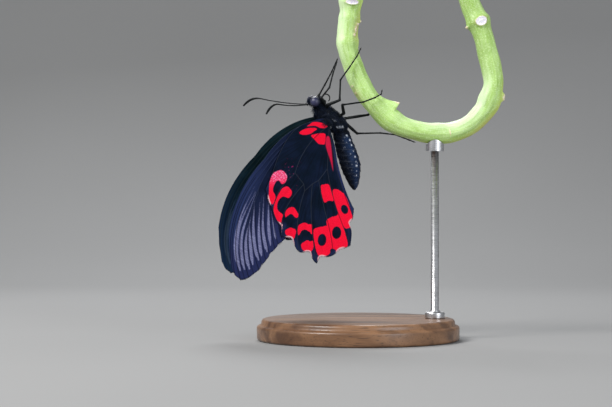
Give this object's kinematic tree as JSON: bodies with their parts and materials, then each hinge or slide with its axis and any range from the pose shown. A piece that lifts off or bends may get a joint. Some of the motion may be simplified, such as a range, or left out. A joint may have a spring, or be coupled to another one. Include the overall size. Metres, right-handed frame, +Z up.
{
  "type": "swallowtail butterfly model on a stand",
  "caption": "Life-size scarlet Mormon swallowtail, wings closed, hanging from a looped vine stem held by a rod on a round display base.",
  "frame": {"origin": "centre of the base's flat underside", "axes": "+Z up, +X from the butterfly toward the crook of the stem, +Y from the shown right side of the butterfly to its left"},
  "size_m": [0.1071, 0.076, 0.1316],
  "materials": {
    "wing": "velvety scales, near-black navy with red marks",
    "body": "short blue-black hair",
    "eye": "glossy compound eye",
    "limb": "black, slightly glossy cuticle",
    "stem": "living yellow-green bark, fine ridges",
    "base": "satin turned wood",
    "metal": "brushed"
  },
  "bodies": {
    "root": {"forewing_r": "wing", "forewing_l": "wing", "hindwing_r": "wing", "hindwing_l": "wing", "head": "body", "palp_r": "body", "palp_l": "body", "prothorax": "body", "thorax": "body", "abdomen": "body", "eye_r": "eye", "eye_l": "eye", "proboscis": "limb", "antenna_r": "limb", "antenna_l": "limb", "leg_fore_r": "limb", "leg_fore_l": "limb", "leg_mid_r": "limb", "leg_mid_l": "limb", "leg_hind_r": "limb", "leg_hind_l": "limb", "perch_stem": "stem", "stand_base": "base", "stand_rod": "metal", "stand_clip": "metal"}
  },
  "joints": []
}
